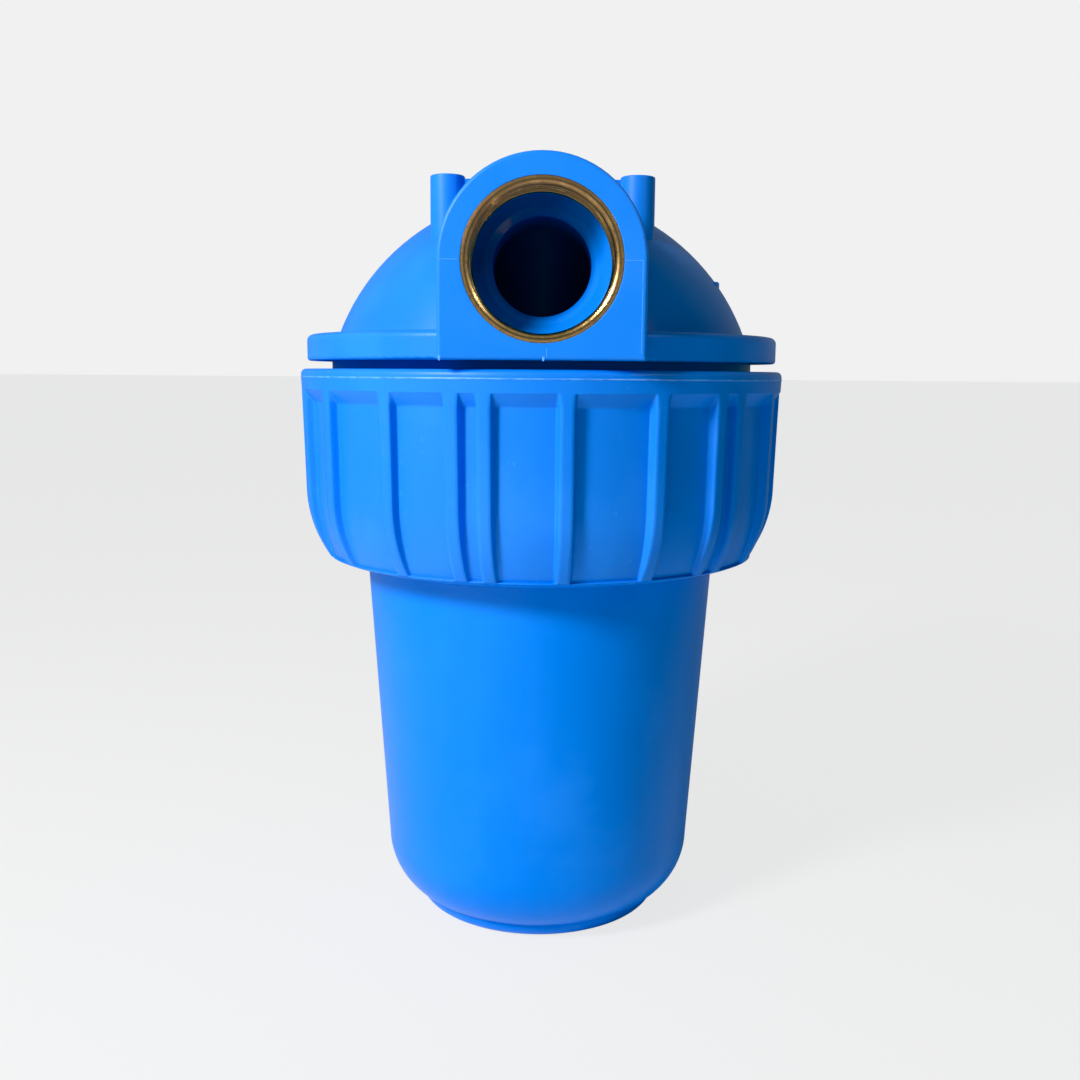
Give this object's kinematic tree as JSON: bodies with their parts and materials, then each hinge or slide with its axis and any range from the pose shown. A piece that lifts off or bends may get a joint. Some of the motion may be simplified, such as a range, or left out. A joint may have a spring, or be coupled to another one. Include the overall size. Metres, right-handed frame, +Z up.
{
  "type": "cartridge filter housing",
  "caption": "Inline water filter housing: domed head with threaded ports, ribbed ring nut, tapered bowl and a pleated cartridge inside.",
  "frame": {"origin": "centre of the bowl's foot, on the surface that it stands on", "axes": "+Z up along the bowl's axis; the inlet port faces -Y and the outlet port faces +Y"},
  "size_m": [0.125, 0.126, 0.1891],
  "materials": {
    "head_plastic": "satin blue polypropylene",
    "nut_plastic": "satin blue polypropylene, mould-textured panels",
    "bowl_plastic": "satin blue polypropylene",
    "brass": "turned brass, slightly tarnished",
    "seal_rubber": "black rubber",
    "core_plastic": "white polypropylene",
    "filter_cloth": "pleated white polyester",
    "cap_plastic": "white polypropylene",
    "gasket_rubber": "black rubber washer"
  },
  "bodies": {
    "head": {"head": "head_plastic", "inlet_insert": "brass", "outlet_insert": "brass"},
    "bowl": {"bowl": "bowl_plastic", "bowl_oring": "seal_rubber"},
    "ring_nut": {"ring_nut": "nut_plastic"},
    "cartridge": {"cartridge_core": "core_plastic", "cartridge_media": "filter_cloth", "cartridge_top_cap": "cap_plastic", "cartridge_bottom_cap": "cap_plastic", "cartridge_top_gasket": "gasket_rubber", "cartridge_bottom_gasket": "gasket_rubber"}
  },
  "joints": [
    {"name": "bowl_drop", "type": "slide", "parent": "head", "child": "bowl", "axis": [0, 0, -1], "range_m": [0, 0.1601]},
    {"name": "nut_turn", "type": "hinge", "parent": "bowl", "child": "ring_nut", "pos_m": [0, 0, 0.12], "axis": [0, 0, -1], "range_deg": [0, 4800]},
    {"name": "cartridge_lift", "type": "slide", "parent": "bowl", "child": "cartridge", "axis": [0, 0, 1], "range_m": [0, 0.1401]}
  ],
  "couplings": [
    {"joint": "bowl_drop", "follows": "nut_turn", "m_per_rad": 0.0019099},
    {"joint": "cartridge_lift", "follows": "nut_turn", "m_per_rad": 0.0016711}
  ]
}
